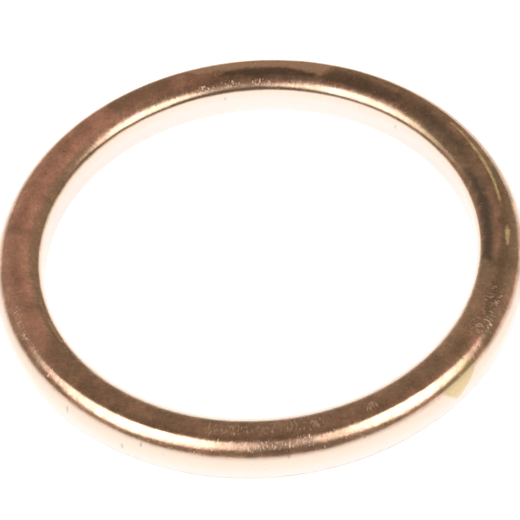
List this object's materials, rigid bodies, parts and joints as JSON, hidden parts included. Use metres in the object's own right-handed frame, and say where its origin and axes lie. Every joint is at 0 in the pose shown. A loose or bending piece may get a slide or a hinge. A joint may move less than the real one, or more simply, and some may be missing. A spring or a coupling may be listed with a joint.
{
  "type": "manifold gasket",
  "caption": "Round copper ring gasket that is crushed between an engine port and a pipe flange to seal hot gas.",
  "frame": {"origin": "centre of the lower face, on the axis of the opening", "axes": "+Z along the axis, from the seamed lower face to the rounded upper face; X and Y lie in the lower face and are arbitrary"},
  "size_m": [0.044, 0.044, 0.004],
  "materials": {
    "copper_sheet": "tarnished copper, pressed smooth"
  },
  "bodies": {
    "root": {"gasket_ring": "copper_sheet"}
  },
  "joints": []
}
